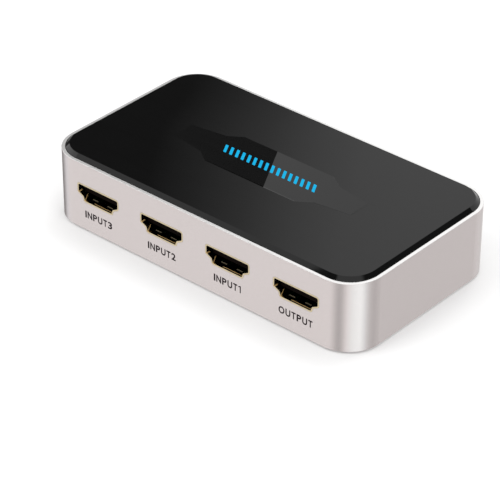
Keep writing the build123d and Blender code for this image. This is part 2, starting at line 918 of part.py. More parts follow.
def make_sockets():
    """The shell, insulator and contacts of every socket."""
    shell = make_shell()
    contacts = make_contacts()
    insulator = make_insulator(contacts)
    pieces = {}
    for name, x in zip(socket_names(), socket_places):
        place = Pos(x, 0, 0)
        pieces[f"{name}_shell"] = place * shell
        pieces[f"{name}_insulator"] = place * insulator
        pieces[f"{name}_contacts"] = group([place * strip for strip in contacts])
    return pieces


def make_case():
    """The frame, panel, plate, feet and screws."""
    pieces = {
        "side_frame": make_side_frame(),
        "top_panel": make_top_panel(),
        "panel_adhesive": make_adhesive(),
        "base_plate": make_base_plate(),
        "case_screws": group([make_case_screw(place) for place in boss_places]),
        "board_screws": group([make_board_screw(place) for place in post_places]),
    }
    foot_names = ["foot_rear_left", "foot_front_left", "foot_rear_right", "foot_front_right"]
    for name, place in zip(foot_names, boss_places):
        pieces[name] = make_foot(place)
    return pieces


def make_front_pieces():
    """The lamps, the window, the receiver, the button and its tactile switch."""
    lamps = [make_lamp(x) for x in lamp_places]
    return {
        "input_lamps": group(lamps[:-1]),
        "power_lamp": lamps[-1],
        "lamp_leads": group(make_lamp_leads()),
        "remote_window": make_window(),
        "remote_receiver": make_receiver(),
        "receiver_leads": group(make_receiver_leads()),
        "select_button": make_button(),
        "tact_switch_base": make_tact_base(),
        "tact_switch_cover": make_tact_cover(),
        "tact_switch_plunger": make_tact_plunger(),
        "tact_switch_dome": make_tact_dome(),
        "tact_switch_leads": group(make_tact_leads()),
    }


def make_jack_pieces():
    """The power jack's moulding, pin and spring contact."""
    pin = make_jack_pin()
    spring = make_jack_spring()
    return {
        "power_jack_body": make_jack_body([pin, spring]),
        "power_jack_pin": pin,
        "power_jack_spring": spring,
    }


def make_board_pieces():
    """The circuit board and what is soldered on it."""
    switch_chip_place = (0, switch_chip_y)
    switch_chip_area = (switch_chip_size, switch_chip_size)
    control_chip_place = (control_chip_x, control_chip_y)
    control_chip_area = (control_chip_length, control_chip_width)
    regulator_place = (regulator_x, regulator_y)
    regulator_area = (regulator_length, regulator_width)
    return {
        "circuit_board": make_circuit_board(),
        "switch_chip": make_chip(switch_chip_place, switch_chip_area, switch_chip_height),
        "switch_chip_leads": group(make_switch_chip_leads()),
        "control_chip": make_chip(control_chip_place, control_chip_area, control_chip_height),
        "control_chip_leads": group(make_control_chip_leads()),
        "regulator": make_chip(regulator_place, regulator_area, regulator_height),
        "regulator_leads": group(make_regulator_leads()),
        "crystal": make_crystal(),
        "can_capacitors": group([make_can_capacitor(place) for place in can_places]),
        "surge_guards": group(make_guards()),
        "ceramic_capacitors": group(make_ceramic_capacitors()),
        "resistors": group(make_resistors()),
    }


os.makedirs("parts", exist_ok=True)
for pieces in (make_case(), make_sockets(), make_front_pieces(), make_jack_pieces(), make_board_pieces()):
    for node, shape in pieces.items():
        export_step(shape, f"parts/{node}.step")
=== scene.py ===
"""Looks of a low switch box with four gold sockets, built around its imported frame."""
import json
import logging
import math
from abc import ABC, abstractmethod
from dataclasses import dataclass, field
from enum import Enum

import bmesh
import bpy
from mathutils import Matrix, Quaternion, Vector


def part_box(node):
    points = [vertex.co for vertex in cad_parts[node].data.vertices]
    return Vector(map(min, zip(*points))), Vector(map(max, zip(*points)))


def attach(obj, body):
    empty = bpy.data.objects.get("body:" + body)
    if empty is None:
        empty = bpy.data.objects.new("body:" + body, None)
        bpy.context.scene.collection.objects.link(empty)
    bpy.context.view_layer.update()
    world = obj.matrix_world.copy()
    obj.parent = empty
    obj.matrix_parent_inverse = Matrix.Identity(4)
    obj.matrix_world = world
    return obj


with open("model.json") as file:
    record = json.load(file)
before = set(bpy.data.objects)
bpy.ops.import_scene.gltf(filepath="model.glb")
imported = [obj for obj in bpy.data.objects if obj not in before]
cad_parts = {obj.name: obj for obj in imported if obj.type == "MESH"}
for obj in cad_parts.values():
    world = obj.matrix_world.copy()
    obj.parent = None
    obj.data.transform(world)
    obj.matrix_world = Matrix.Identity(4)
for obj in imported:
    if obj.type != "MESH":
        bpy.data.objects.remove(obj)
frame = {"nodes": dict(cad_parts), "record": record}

LOG = logging.getLogger("switch_box")
MM = 0.001
# The noise values between which a pattern's colours blend
PATTERN_ENDS = (0.3, 0.7)
# A mix node's sockets for colours: the factor, the two colours and the result
MIX_INPUTS = (0, 6, 7)
MIX_RESULT = 2

Colour = tuple[float, float, float]
Span = tuple[float, float]
Socket = bpy.types.NodeSocket
Value = Socket | Colour | float
Stops = list[tuple[float, Colour]]


def grey(value: float) -> Colour:
    """A neutral colour of one brightness."""
    return (value, value, value)


def shade(colour: Colour, factor: float, limit: float = 1.0) -> Colour:
    """A colour made lighter or darker by a factor, up to a limit."""
    return tuple(min(limit, channel * factor) for channel in colour)


def direction(angle: float, elevation: float) -> Vector:
    """The unit vector at an angle from +X towards +Y and an elevation, in radians."""
    level = math.cos(elevation)
    return Vector((math.cos(angle) * level, math.sin(angle) * level, math.sin(elevation)))


class Graph:
    """A node tree with short calls that add nodes and join them."""

    def __init__(self, tree: bpy.types.NodeTree) -> None:
        """Start from an empty tree.

        Args:
            tree: the node tree of a material or a world.
        """
        self.tree = tree
        self.tree.nodes.clear()

    def node(self, kind: str, **settings: object) -> bpy.types.Node:
        """Add a node and set its properties.

        Args:
            kind: the node's Blender type.
            settings: properties of the node by name.

        Returns:
            The new node.
        """
        made = self.tree.nodes.new(kind)
        for name, value in settings.items():
            setattr(made, name, value)
        return made

    def join(self, source: Socket, target: Socket) -> None:
        """Link an output to an input."""
        self.tree.links.new(source, target)

    def fill(self, socket: Socket, value: Value) -> None:
        """Give an input its value.

        Args:
            socket: the input.
            value: an output to link, a colour or a number.
        """
        if isinstance(value, Socket):
            self.join(value, socket)
        elif isinstance(value, tuple):
            socket.default_value = (*value, 1.0)
        else:
            socket.default_value = value

    def math(self, operation: str, *values: Value) -> Socket:
        """Add a math node.

        Args:
            operation: the node's operation.
            values: up to three numbers or outputs.

        Returns:
            The node's result.
        """
        made = self.node("ShaderNodeMath", operation=operation)
        for socket, value in zip(made.inputs, values):
            self.fill(socket, value)
        return made.outputs[0]

    def product(self, first: Socket, *others: Value) -> Socket:
        """Multiply an output by others in turn.

        Args:
            first: the first factor.
            others: the other factors, numbers or outputs.

        Returns:
            The product.
        """
        for other in others:
            first = self.math("MULTIPLY", first, other)
        return first

    def coordinate(self, vector: Socket, axis: str) -> Socket:
        """Take one coordinate of a vector.

        Args:
            vector: the vector's output.
            axis: X, Y or Z.

        Returns:
            The coordinate.
        """
        parts = self.node("ShaderNodeSeparateXYZ")
        self.join(vector, parts.inputs[0])
        return parts.outputs[axis]

    def ramp(self, value: Socket, stops: Stops) -> Socket:
        """Add a colour ramp.

        Args:
            value: what drives the ramp.
            stops: positions and colours, lowest first.

        Returns:
            The ramp's colour.
        """
        made = self.node("ShaderNodeValToRGB")
        elements = made.color_ramp.elements
        elements.remove(elements[-1])
        lowest, *others = stops
        elements[0].position = lowest[0]
        elements[0].color = (*lowest[1], 1.0)
        for position, colour in others:
            elements.new(position).color = (*colour, 1.0)
        self.join(value, made.inputs["Fac"])
        return made.outputs["Color"]

    def step(self, value: Socket, low: float, high: float) -> Socket:
        """Grow smoothly from 0 to 1 while a value goes from one number to another.

        Args:
            value: the value.
            low: where the result starts to grow.
            high: where it is 1.

        Returns:
            The result.
        """
        made = self.node("ShaderNodeMapRange", interpolation_type="SMOOTHSTEP")
        made.inputs["From Min"].default_value = low
        made.inputs["From Max"].default_value = high
        self.join(value, made.inputs["Value"])
        return made.outputs["Result"]

    def band(self, value: Socket, low: float, high: float, blend: float) -> Socket:
        """1 while a value is between two numbers and 0 outside, with soft ends."""
        risen = self.step(value, low - blend, low)
        return self.math("SUBTRACT", risen, self.step(value, high, high + blend))

    def mix(self, factor: Value, first: Value, second: Value) -> Socket:
        """Add a colour mix.

        Args:
            factor: a number or an output.
            first: the colour or output at factor 0.
            second: the colour or output at factor 1.

        Returns:
            The mixed colour.
        """
        made = self.node("ShaderNodeMix", data_type="RGBA")
        for index, value in zip(MIX_INPUTS, (factor, first, second)):
            self.fill(made.inputs[index], value)
        return made.outputs[MIX_RESULT]


class Surface(Graph):
    """A material's node tree, with its shader and the patterns that the finishes share."""

    def __init__(self, name: str) -> None:
        """Make a material with one Principled shader.

        Args:
            name: the material's name.
        """
        self.material = bpy.data.materials.new(name)
        self.material.use_nodes = True
        super().__init__(self.material.node_tree)
        output = self.node("ShaderNodeOutputMaterial")
        self.shader = self.node("ShaderNodeBsdfPrincipled")
        self.join(self.shader.outputs["BSDF"], output.inputs["Surface"])
        self.place = self.node("ShaderNodeTexCoord").outputs["Object"]

    def set(self, **values: Value) -> None:
        """Fill the shader's own inputs, with underscores for the spaces in their names."""
        for name, value in values.items():
            self.fill(self.shader.inputs[name.replace("_", " ")], value)

    def fed(self, name: str) -> Socket:
        """The output that one of the shader's inputs is linked to."""
        return self.shader.inputs[name].links[0].from_socket

    def noise(self, scale: float, detail: float = 3.0, stretch: Colour = (1.0, 1.0, 1.0)) -> Socket:
        """Noise on the piece's own coordinates.

        Args:
            scale: features per metre.
            detail: octaves.
            stretch: scale along each axis.

        Returns:
            The noise's value.
        """
        mapping = self.node("ShaderNodeMapping")
        mapping.inputs["Scale"].default_value = stretch
        self.join(self.place, mapping.inputs["Vector"])
        made = self.node("ShaderNodeTexNoise")
        made.inputs["Scale"].default_value = scale
        made.inputs["Detail"].default_value = detail
        self.join(mapping.outputs["Vector"], made.inputs["Vector"])
        return made.outputs["Fac"]

    def along(self, axis: str) -> Socket:
        """The place along one of the piece's own axes, in metres."""
        return self.coordinate(self.place, axis)

    def facing_up(self, low: float = 0.5, high: float = 0.8) -> Socket:
        """1 where the surface faces up and 0 where it leans more or faces down."""
        normal = self.node("ShaderNodeNewGeometry").outputs["True Normal"]
        return self.step(self.coordinate(normal, "Z"), low, high)

    def span(self, value: Socket, low: float, high: float) -> Socket:
        """Stretch a pattern from 0 and 1 to two other values.

        Args:
            value: the pattern.
            low: the result at 0.
            high: the result at 1.

        Returns:
            The stretched pattern.
        """
        made = self.node("ShaderNodeMapRange")
        made.inputs["To Min"].default_value = low
        made.inputs["To Max"].default_value = high
        self.join(value, made.inputs["Value"])
        return made.outputs["Result"]

    def around(self, pattern: Socket, middle: float, changes: Span) -> Socket:
        """A number that a pattern makes smaller or larger, within two changes."""
        return self.span(pattern, *(middle + change for change in changes))

    def shades(self, pattern: Socket, colour: Colour, factors: Span) -> Socket:
        """A colour that a pattern makes darker or lighter, within two factors."""
        tones = [shade(colour, factor) for factor in factors]
        return self.ramp(pattern, list(zip(PATTERN_ENDS, tones)))

    def bump(self, value: Socket, depth: float) -> None:
        """Raise the surface by a pattern.

        Args:
            value: the height pattern.
            depth: its depth in metres.
        """
        made = self.node("ShaderNodeBump")
        made.inputs["Strength"].default_value = 1.0
        made.inputs["Distance"].default_value = depth
        self.join(value, made.inputs["Height"])
        self.set(Normal=made.outputs["Normal"])


class Finish(ABC):
    """How a surface looks."""

    def build(self, name: str) -> bpy.types.Material:
        """Make the finish's material.

        Args:
            name: the material's name.

        Returns:
            The material.
        """
        surface = Surface(name)
        self.paint(surface)
        return surface.material

    @abstractmethod
    def paint(self, surface: Surface) -> None:
        """Add the finish's nodes to a surface."""


@dataclass(frozen=True)
class FramePaint(Finish):
    """Satin paint with fine metal flakes on the side frame, and its bright cut rim on top."""

    colour: Colour
    metallic: float
    roughness: float
    rim_colour: Colour
    rim_metallic: float
    rim_roughness: float
    rim_lean: float = math.radians(0.5)
    rim_width: float = 1.06 * MM
    corner_radius: float = 9.8 * MM
    # painted shadow: width and colour of the dark strip that stands in for the gap's shade beside the
    # panel
    bare_width: float = 0.12 * MM
    bare_colour: Colour = grey(0.016)
    flake_scale: float = 5200.0
    flake_shades: Span = (0.965, 1.035)
    flake_height: float = 0.0012 * MM
    rub_scale: float = 160.0
    rubbed: Span = (-0.03, 0.03)

    def bare_strip(self, surface: Surface) -> Socket:
        """Find the thin strip of the rim beside the panel that carries a painted shadow of the gap.

        Args:
            surface: the surface.

        Returns:
            1 on the strip and inside it, and 0 further out.
        """
        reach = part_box("side_frame")[1]
        squares = []
        for axis, half_size in (("X", reach.x), ("Y", reach.y)):
            place = surface.math("ABSOLUTE", surface.along(axis))
            past_corner = surface.math("SUBTRACT", place, half_size - self.corner_radius)
            squares.append(surface.math("POWER", surface.math("MAXIMUM", past_corner, 0.0), 2.0))
        distance = surface.math("SQRT", surface.math("ADD", *squares))
        strip_edge = self.corner_radius - self.rim_width + self.bare_width
        return surface.math("LESS_THAN", distance, strip_edge)

    def paint(self, surface: Surface) -> None:
        """Add the flakes, the rubbed satin, the rim and the painted shadow of the gap beside the panel.

        Args:
            surface: the surface.
        """
        rim = surface.facing_up()
        # painted shadow: the rim's inner strip beside the panel is dark and not metallic, in place of
        # the gap's shade
        gap_shadow = surface.product(rim, self.bare_strip(surface))
        flakes = surface.noise(self.flake_scale, detail=2.0)
        flaked = surface.shades(flakes, self.colour, self.flake_shades)
        satin = surface.mix(rim, flaked, self.rim_colour)
        rubbed = surface.around(surface.noise(self.rub_scale, detail=4.0), self.roughness, self.rubbed)
        metal = surface.span(rim, self.metallic, self.rim_metallic)
        surface.set(
            Base_Color=surface.mix(gap_shadow, satin, self.bare_colour),
            Metallic=surface.product(metal, surface.math("SUBTRACT", 1.0, gap_shadow)),
            Roughness=surface.mix(rim, rubbed, grey(self.rim_roughness)),
        )
        lean = surface.product(surface.along("X"), rim, -math.tan(self.rim_lean))
        surface.bump(surface.math("MULTIPLY_ADD", flakes, self.flake_height, lean), 1.0)


@dataclass(frozen=True)
class PolishedBlack(Finish):
    """Polished black acrylic with faint wiping marks, and a slope that only its shine shows."""

    colour: Colour
    roughness: float = 0.025
    slope: Span = (0.0, 0.0)
    cut_colour: Colour = grey(0.0014)
    cut_lean: Span = (0.9, 0.98)
    ior: float = 1.49
    wipe_scale: float = 60.0
    wipe_stretch: Colour = (1.0, 6.0, 1.0)
    wipe_shades: Span = (0.85, 1.15)
    wipe_roughness: Span = (0.7, 1.4)
    ripple_scale: float = 35.0
    ripple_height: float = 0.001 * MM

    def paint(self, surface: Surface) -> None:
        """Add the wiping marks, the colour of the leaning edges, the ripple and the slope.

        Args:
            surface: the surface.
        """
        wipes = surface.noise(self.wipe_scale, detail=5.0, stretch=self.wipe_stretch)
        wiped = surface.shades(wipes, self.colour, self.wipe_shades)
        surface.set(
            IOR=self.ior,
            Base_Color=surface.mix(surface.facing_up(*self.cut_lean), self.cut_colour, wiped),
            Roughness=surface.span(wipes, *(self.roughness * share for share in self.wipe_roughness)),
        )
        sloped = surface.node("ShaderNodeVectorMath", operation="DOT_PRODUCT")
        sloped.inputs[1].default_value = (*self.slope, 0.0)
        surface.join(surface.place, sloped.inputs[0])
        ripple = surface.noise(self.ripple_scale, detail=2.0)
        height = surface.math("MULTIPLY_ADD", ripple, self.ripple_height, sloped.outputs["Value"])
        surface.bump(height, 1.0)


@dataclass(frozen=True)
class Moulded(Finish):
    """Moulded plastic, resin or rubber with a fine grain."""

    colour: Colour
    roughness: float
    grain_scale: float = 2400.0
    grain_depth: float = 0.01 * MM
    specular: float = 0.5
    cloud_scale: float = 240.0
    cloud_shades: Span = (0.85, 1.2)
    rubbed: Span = (-0.06, 0.08)

    def paint(self, surface: Surface) -> None:
        """Add the grain and the cloudy colour.

        Args:
            surface: the surface.
        """
        grain = surface.noise(self.grain_scale)
        clouds = surface.noise(self.cloud_scale)
        surface.set(
            Specular_IOR_Level=self.specular,
            Base_Color=surface.shades(clouds, self.colour, self.cloud_shades),
            Roughness=surface.around(grain, self.roughness, self.rubbed),
        )
        surface.bump(grain, self.grain_depth)


@dataclass(frozen=True)
class PlatedMetal(Finish):
    """Rolled and plated metal with drawing lines and a little tarnish, and painted shade deep inside.
    """

    colour: Colour
    roughness: float
    tarnish: float = 0.8
    # painted shade: how dark the plate is painted deep inside, where the mouth is in shade
    deep_shade: float = 1.0
    deep: Span = (0.25 * MM, 1.0 * MM)
    line_scale: float = 900.0
    line_stretch: Colour = (1.0, 0.08, 1.0)
    line_height: float = 0.004 * MM
    stain_scale: float = 520.0
    rubbed: Span = (-0.06, 0.08)

    def paint(self, surface: Surface) -> None:
        """Add the drawing lines, the tarnish and the painted shade behind the socket face.

        Args:
            surface: the surface.
        """
        lines = surface.noise(self.line_scale, stretch=self.line_stretch)
        stains = surface.noise(self.stain_scale, detail=4.0)
        stained = surface.shades(stains, self.colour, (self.tarnish, 1.0))
        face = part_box("side_frame")[0].y
        # painted shade: the plate darkens with depth behind the socket face, where the mouth is in
        # shade
        depth = surface.step(surface.along("Y"), *(face + start for start in self.deep))
        surface.set(
            Metallic=1.0,
            Base_Color=surface.mix(depth, stained, shade(self.colour, self.deep_shade)),
            Roughness=surface.around(lines, self.roughness, self.rubbed),
        )
        surface.bump(lines, self.line_height)


@dataclass(frozen=True)
class ShellGold(PlatedMetal):
    """Gold plate of the sockets, with painted shade inside and three painted glint lines in the mouth.
    """

    mouth_centre_z: float = 11.73 * MM
    mouth_half_height: float = 2.275 * MM
    socket_pitch: float = 22.45 * MM
    # painted glints: the lit gold colour of the three lines where the mouth catches light
    worn_colour: Colour = (0.45, 0.29, 0.115)
    floor_line: Span = (0.52 * MM, 0.7 * MM)
    floor_line_start: float = -1.9 * MM
    step_line: Span = (-0.2 * MM, 0.2 * MM)
    step_line_slope: float = 1.25
    step_line_top: float = 1.25 * MM
    step_line_x: float = -4.5 * MM
    fold_line: Span = (2.1 * MM, 2.3 * MM)
    fold_line_depth: float = 1.2 * MM
    fold_line_x: float = -6.5 * MM
    blend: float = 0.05 * MM

    def worn_lines(self, surface: Surface) -> Socket:
        """Find the painted glint lines on the mouth's floor, on its left step and on the fold above
        that.

        Args:
            surface: the surface.

        Returns:
            1 on the lines and 0 elsewhere.
        """
        depth = surface.math("SUBTRACT", surface.along("Y"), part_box("side_frame")[0].y)
        mouth_floor = self.mouth_centre_z - self.mouth_half_height
        height = surface.math("SUBTRACT", surface.along("Z"), mouth_floor)
        wrapped = surface.math("FLOORED_MODULO", surface.along("X"), self.socket_pitch)
        x = surface.math("SUBTRACT", wrapped, self.socket_pitch / 2)
        slant = surface.math("MULTIPLY_ADD", height, -self.step_line_slope, depth)
        floor = surface.product(
            surface.band(height, -self.blend, self.blend, self.blend),
            surface.band(depth, *self.floor_line, self.blend),
            surface.step(x, self.floor_line_start - self.blend, self.floor_line_start + self.blend),
        )
        step = surface.product(
            surface.band(height, 0.0, self.step_line_top, self.blend),
            surface.band(slant, *self.step_line, self.blend),
            surface.math("LESS_THAN", x, self.step_line_x),
        )
        fold = surface.product(
            surface.band(height, *self.fold_line, self.blend),
            surface.math("LESS_THAN", x, self.fold_line_x),
            surface.math("LESS_THAN", depth, self.fold_line_depth),
        )
        return surface.math("MAXIMUM", surface.math("MAXIMUM", floor, step), fold)

    def paint(self, surface: Surface) -> None:
        """Add the painted glint lines to the plate.

        Args:
            surface: the surface.
        """
        super().paint(surface)
        # painted highlight: the lines get a lit, non-metallic gold colour in place of glints on the
        # plate
        painted_glints = self.worn_lines(surface)
        surface.set(
            Base_Color=surface.mix(painted_glints, surface.fed("Base Color"), self.worn_colour),
            Metallic=surface.math("SUBTRACT", 1.0, painted_glints),
        )


@dataclass(frozen=True)
class TintedClear(Finish):
    """Tinted clear resin, as of a lens or a lamp."""

    colour: Colour
    transmission: float = 0.55
    ior: float = 1.5
    cloud_scale: float = 700.0
    cloud_shades: Span = (0.8, 1.1)
    cloud_roughness: Span = (0.06, 0.16)

    def paint(self, surface: Surface) -> None:
        """Add the clear body and its faint clouds.

        Args:
            surface: the surface.
        """
        clouds = surface.noise(self.cloud_scale)
        surface.set(
            Transmission_Weight=self.transmission,
            IOR=self.ior,
            Base_Color=surface.shades(clouds, self.colour, self.cloud_shades),
            Roughness=surface.span(clouds, *self.cloud_roughness),
        )


@dataclass(frozen=True)
class Laminate(Finish):
    """Green solder mask over copper tracks."""

    mask: Colour
    track: Colour
    track_scale: float = 260.0
    track_width: float = 0.03
    track_shift: float = 0.35
    track_squash: float = 0.6
    track_height: float = 0.01 * MM
    patch_shade: float = 1.25
    cloud_scale: float = 900.0
    cloud_roughness: Span = (0.3, 0.45)

    def paint(self, surface: Surface) -> None:
        """Add the tracks under the mask.

        Args:
            surface: the surface.
        """
        tracks = surface.node("ShaderNodeTexBrick", offset=self.track_shift, squash=self.track_squash)
        values = {
            "Vector": surface.place,
            "Scale": self.track_scale,
            "Mortar Size": self.track_width,
            "Mortar": self.track,
            "Color1": self.mask,
            "Color2": shade(self.mask, self.patch_shade),
        }
        for name, value in values.items():
            surface.fill(tracks.inputs[name], value)
        surface.set(
            Base_Color=tracks.outputs["Color"],
            Roughness=surface.span(surface.noise(self.cloud_scale), *self.cloud_roughness),
        )
        surface.bump(tracks.outputs["Fac"], -self.track_height)


@dataclass(frozen=True)
class Ink(Finish):
    """Screen-printed ink with slightly uneven cover."""

    colour: Colour
    roughness: float
    specular: float
    cover_scale: float = 2600.0
    cover_shades: Span = (0.9, 1.08)
    cover_height: float = 0.002 * MM
    rubbed: Span = (-0.08, 0.08)

    def paint(self, surface: Surface) -> None:
        """Add the uneven cover.

        Args:
            surface: the surface.
        """
        cover = surface.noise(self.cover_scale)
        surface.set(
            Specular_IOR_Level=self.specular,
            Base_Color=surface.shades(cover, self.colour, self.cover_shades),
            Roughness=surface.around(cover, self.roughness, self.rubbed),
        )
        surface.bump(cover, self.cover_height)


class Slot(Enum):
    """The record's material slots and the finish of each."""

    SILVER_PAINT = ("silver_paint", FramePaint(
        colour=(0.65, 0.59, 0.58), metallic=0.85, roughness=0.24,
        rim_colour=(1.0, 0.99, 0.98), rim_metallic=0.66, rim_roughness=0.08,
    ))
    GLOSS_PANEL = ("gloss_panel", PolishedBlack(grey(0.0014)))
    BASE_PLASTIC = ("base_plastic", Moulded(grey(0.022), 0.55))
    ADHESIVE = ("adhesive", Moulded((0.62, 0.6, 0.52), 0.7))
    SCREW_STEEL = ("screw_steel", PlatedMetal(grey(0.56), 0.3))
    FOOT_RUBBER = ("foot_rubber", Moulded(
        grey(0.018), 0.85, grain_scale=1600.0, grain_depth=0.03 * MM,
    ))
    BOARD_LAMINATE = ("board_laminate", Laminate((0.012, 0.1, 0.045), (0.03, 0.2, 0.08)))
    # the sockets' gold gets painted shade deep in the mouth and painted glint lines
    GOLD_PLATE = ("gold_plate", ShellGold((0.71, 0.6, 0.4), 0.16, tarnish=0.85, deep_shade=0.18))
    BLACK_RESIN = ("black_resin", Moulded(
        (0.003, 0.0013, 0.0009), 0.5, grain_scale=3000.0, grain_depth=0.006 * MM, specular=0.02,
    ))
    TINNED_METAL = ("tinned_metal", PlatedMetal(grey(0.68), 0.32))
    CAN_METAL = ("can_metal", PlatedMetal((0.72, 0.73, 0.75), 0.28))
    CERAMIC = ("ceramic", Moulded((0.42, 0.3, 0.18), 0.6))
    BLUE_LENS = ("blue_lens", TintedClear((0.3, 0.5, 0.95)))
    RED_LENS = ("red_lens", TintedClear((0.85, 0.1, 0.07)))
    DARK_WINDOW = ("dark_window", TintedClear((0.03, 0.004, 0.008), transmission=0.3))
    BUTTON_PLASTIC = ("button_plastic", Moulded(
        grey(0.02), 0.3, grain_scale=2000.0, grain_depth=0.004 * MM,
    ))
    PRINT_BLUE = ("print_blue", Ink((0.001, 0.31, 0.55), 0.45, specular=0.08))
    PRINT_DARK = ("print_dark", Ink((0.012, 0.007, 0.008), 0.6, specular=0.05))

    def __init__(self, slot: str, finish: Finish) -> None:
        """Keep the slot's name and finish."""
        self.slot = slot
        self.finish = finish

    @property
    def material(self) -> bpy.types.Material:
        """The slot's finish, made the first time it is asked for."""
        name = f"{self.slot}_finish"
        return bpy.data.materials.get(name) or self.finish.build(name)

    @classmethod
    def named(cls, slot: str) -> "Slot":
        """The member for a slot's name."""
        return next(member for member in cls if member.slot == slot)


def finished_piece(name: str, mesh: bmesh.types.BMesh, slot: Slot, body: str) -> bpy.types.Object:
    """Turn a bmesh into a piece that rides on a body.

    Args:
        name: the piece's name.
        mesh: its shape, in metres, which is freed.
        slot: the record's material slot.
        body: the body that carries it.

    Returns:
        The piece's object.
    """
    data = bpy.data.meshes.new(name)
    mesh.to_mesh(data)
    mesh.free()
    piece = bpy.data.objects.new(name, data)
    bpy.context.scene.collection.objects.link(piece)
    data.materials.append(slot.material)
    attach(piece, body)
    LOG.info("%s: %d faces on %s", name, len(data.polygons), body)
    return piece


@dataclass
class CarriedNodes:
    """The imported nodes, each with the finish of its slot."""

    def dress(self) -> None:
        """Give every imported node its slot's material."""
        for entry in frame["record"]["subparts"]:
            node = frame["nodes"][entry["node"]]
            slot = Slot.named(entry["material_slot"])
            node.data.materials.clear()
            node.data.materials.append(slot.material)
            LOG.info("%s: %s", node.name, slot.slot)


@dataclass
class Emblem:
    """The two polished facets on the panel's low ridge, and the row of blue bars on them."""

    body_half_length: float = 15.2 * MM
    half_width: float = 7.8 * MM
    neck_x: float = 19.1 * MM
    neck_half_width: float = 5.1 * MM
    tip_x: float = 30.0 * MM
    tip_half_width: float = 3.5 * MM
    split_shift: float = 4.3 * MM
    split_x: float = 0.5 * MM
    rise: float = 0.12 * MM
    fade_length: float = 30.0 * MM
    film: float = 0.006 * MM
    hem_lean: float = 1.25
    tilt: float = math.radians(3.5)
    dark_colour: Colour = grey(0.003)
    light_colour: Colour = grey(0.001)
    # painted light: the light facet's leaning hem is lighter than its film, lifting a dark line along
    # that edge
    cut_colour: Colour = grey(0.024)
    bar_count: int = 16
    bar_pitch: float = 2.0 * MM
    bar_width: float = 0.95 * MM
    bar_height: float = 3.2 * MM
    bar_lift: float = 0.15 * MM
    bar_thickness: float = 0.012 * MM
    bar_corner: float = 0.2 * MM
    corner_segments: int = 4

    def __post_init__(self) -> None:
        """Find the panel's flat top and the direction across the ridge."""
        self.panel_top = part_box("top_panel")[1].z - self.rise
        self.across = Vector((self.half_width, self.split_shift, 0)).normalized()
        self.split = Vector((self.split_x, 0, 0))

    def height(self, point: Vector) -> float:
        """How high the ridge's slope stands at a point of the panel."""
        distance = abs((point - self.split).dot(self.across))
        return self.panel_top + max(0.0, self.rise * (1 - distance / self.fade_length))

    def corners(self) -> list[Vector]:
        """Mirror the emblem's corners from those of one quarter.

        Returns:
            All its corners in turn.
        """
        upper_left = [
            Vector((-self.body_half_length, self.half_width, 0)),
            Vector((-self.neck_x, self.neck_half_width, 0)),
            Vector((-self.tip_x, self.tip_half_width, 0)),
        ]
        left = upper_left + [Vector((corner.x, -corner.y, 0)) for corner in reversed(upper_left)]
        return left + [-corner for corner in left]

    def drape(self, mesh: bmesh.types.BMesh) -> None:
        """Lay a flat mesh on the slopes, a film's thickness above them."""
        for vertex in mesh.verts:
            vertex.co.z += self.height(Vector((vertex.co.x, vertex.co.y, 0))) + self.film

    def add_hem(self, mesh: bmesh.types.BMesh) -> None:
        """Let a draped film fall to the panel along its long sides.

        Args:
            mesh: the film.
        """
        sides = [edge for edge in mesh.edges if edge.verts[0].co.y * edge.verts[1].co.y > 0]
        hem = bmesh.ops.extrude_edge_only(mesh, edges=sides)
        for vertex in hem["geom"]:
            if isinstance(vertex, bmesh.types.BMVert):
                drop = vertex.co.z - self.panel_top
                vertex.co.y += math.copysign(self.hem_lean * drop, vertex.co.y)
                vertex.co.z = self.panel_top

    def facet(self, name: str, side: int) -> None:
        """Make one facet's thin film, whose shine slopes down from the ridge.

        Args:
            name: the piece's name.
            side: -1 for the dark end at -X and 1 for the light one.
        """
        mesh = bmesh.new()
        outline = mesh.faces.new([mesh.verts.new(corner) for corner in self.corners()])
        geometry = [*mesh.verts, *mesh.edges, outline]
        downhill = self.across * -side
        bmesh.ops.bisect_plane(
            mesh, geom=geometry, plane_co=self.split, plane_no=downhill, clear_outer=True,
        )
        self.drape(mesh)
        if side > 0:
            self.add_hem(mesh)
        bmesh.ops.recalc_face_normals(mesh, faces=mesh.faces)
        if sum(face.normal.z for face in mesh.faces) < 0:
            bmesh.ops.reverse_faces(mesh, faces=mesh.faces)
        piece = finished_piece(name, mesh, Slot.GLOSS_PANEL, "case")
        slope = downhill.xy * math.tan(self.tilt)
        colour = self.dark_colour if side < 0 else self.light_colour
        # the edge colour paints the hem lighter than the film, as painted light over a dark line
        finish = PolishedBlack(colour, slope=tuple(slope), cut_colour=self.cut_colour)
        piece.data.materials[0] = finish.build(name)

    def bars(self) -> None:
        """Make the row of slanted blue bars."""
        mesh = bmesh.new()
        slant = self.split_shift / self.half_width
        shear = Matrix(((1, -slant, 0, 0), (0, 1, 0, 0), (0, 0, 1, 0), (0, 0, 0, 1)))
        size = Matrix.Diagonal((self.bar_width, self.bar_height, self.bar_thickness, 1))
        for index in range(self.bar_count):
            x = (index - (self.bar_count - 1) / 2) * self.bar_pitch
            place = Matrix.Translation((x, self.bar_lift, self.bar_thickness / 2))
            bmesh.ops.create_cube(mesh, size=1.0, matrix=place @ shear @ size)
        uprights = [
            edge for edge in mesh.edges
            if abs(edge.verts[0].co.z - edge.verts[1].co.z) > self.bar_thickness / 2
        ]
        bmesh.ops.bevel(
            mesh, geom=uprights, offset=self.bar_corner, segments=self.corner_segments,
            profile=0.5, affect="EDGES", material=-1,
        )
        self.drape(mesh)
        finished_piece("emblem_bars", mesh, Slot.PRINT_BLUE, "case")

    def build(self) -> None:
        """Make the films and the bars."""
        self.facet("emblem_facet_dark", -1)
        self.facet("emblem_facet_light", 1)
        self.bars()


class Facing(Enum):
    """The face that a mark is printed on, and how a flat text turns to lie on it."""

    SOCKETS = (0.0, -1)
    FRONT = (math.pi, 1)

    def __init__(self, turn: float, sign: int) -> None:
        """Keep the turn about Z and the side of the box."""
        self.turn = turn
        self.sign = sign


